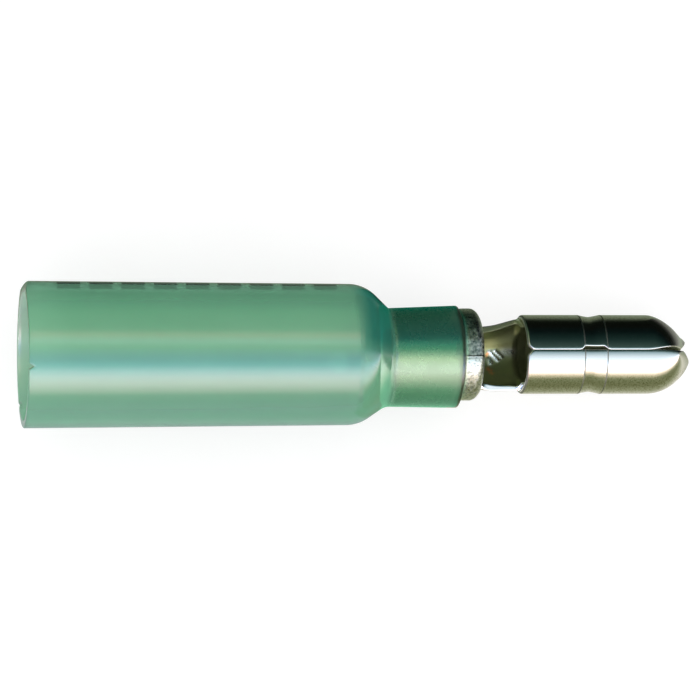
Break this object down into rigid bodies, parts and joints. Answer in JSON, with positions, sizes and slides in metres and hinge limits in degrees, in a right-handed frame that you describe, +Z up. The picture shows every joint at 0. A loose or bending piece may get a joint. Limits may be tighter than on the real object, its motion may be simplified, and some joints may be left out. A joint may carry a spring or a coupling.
{
  "type": "heat-shrink bullet crimp connector",
  "caption": "Male bullet crimp terminal: rolled, plated sheet-metal plug and barrel with an open neck, gripped by a translucent heat-shrink sleeve that takes the wire.",
  "frame": {"origin": "middle of the connector's box, on the surface that it lies on", "axes": "+X along the connector from the sleeve's mouth to the bullet's nose, +Z up through the seam"},
  "size_m": [0.034, 0.0072, 0.0087],
  "materials": {
    "plated_metal": "bright tin plate over brass sheet",
    "shrink_sleeve": "translucent glossy green polyolefin"
  },
  "bodies": {
    "root": {"terminal": "plated_metal", "sleeve": "shrink_sleeve"}
  },
  "joints": []
}
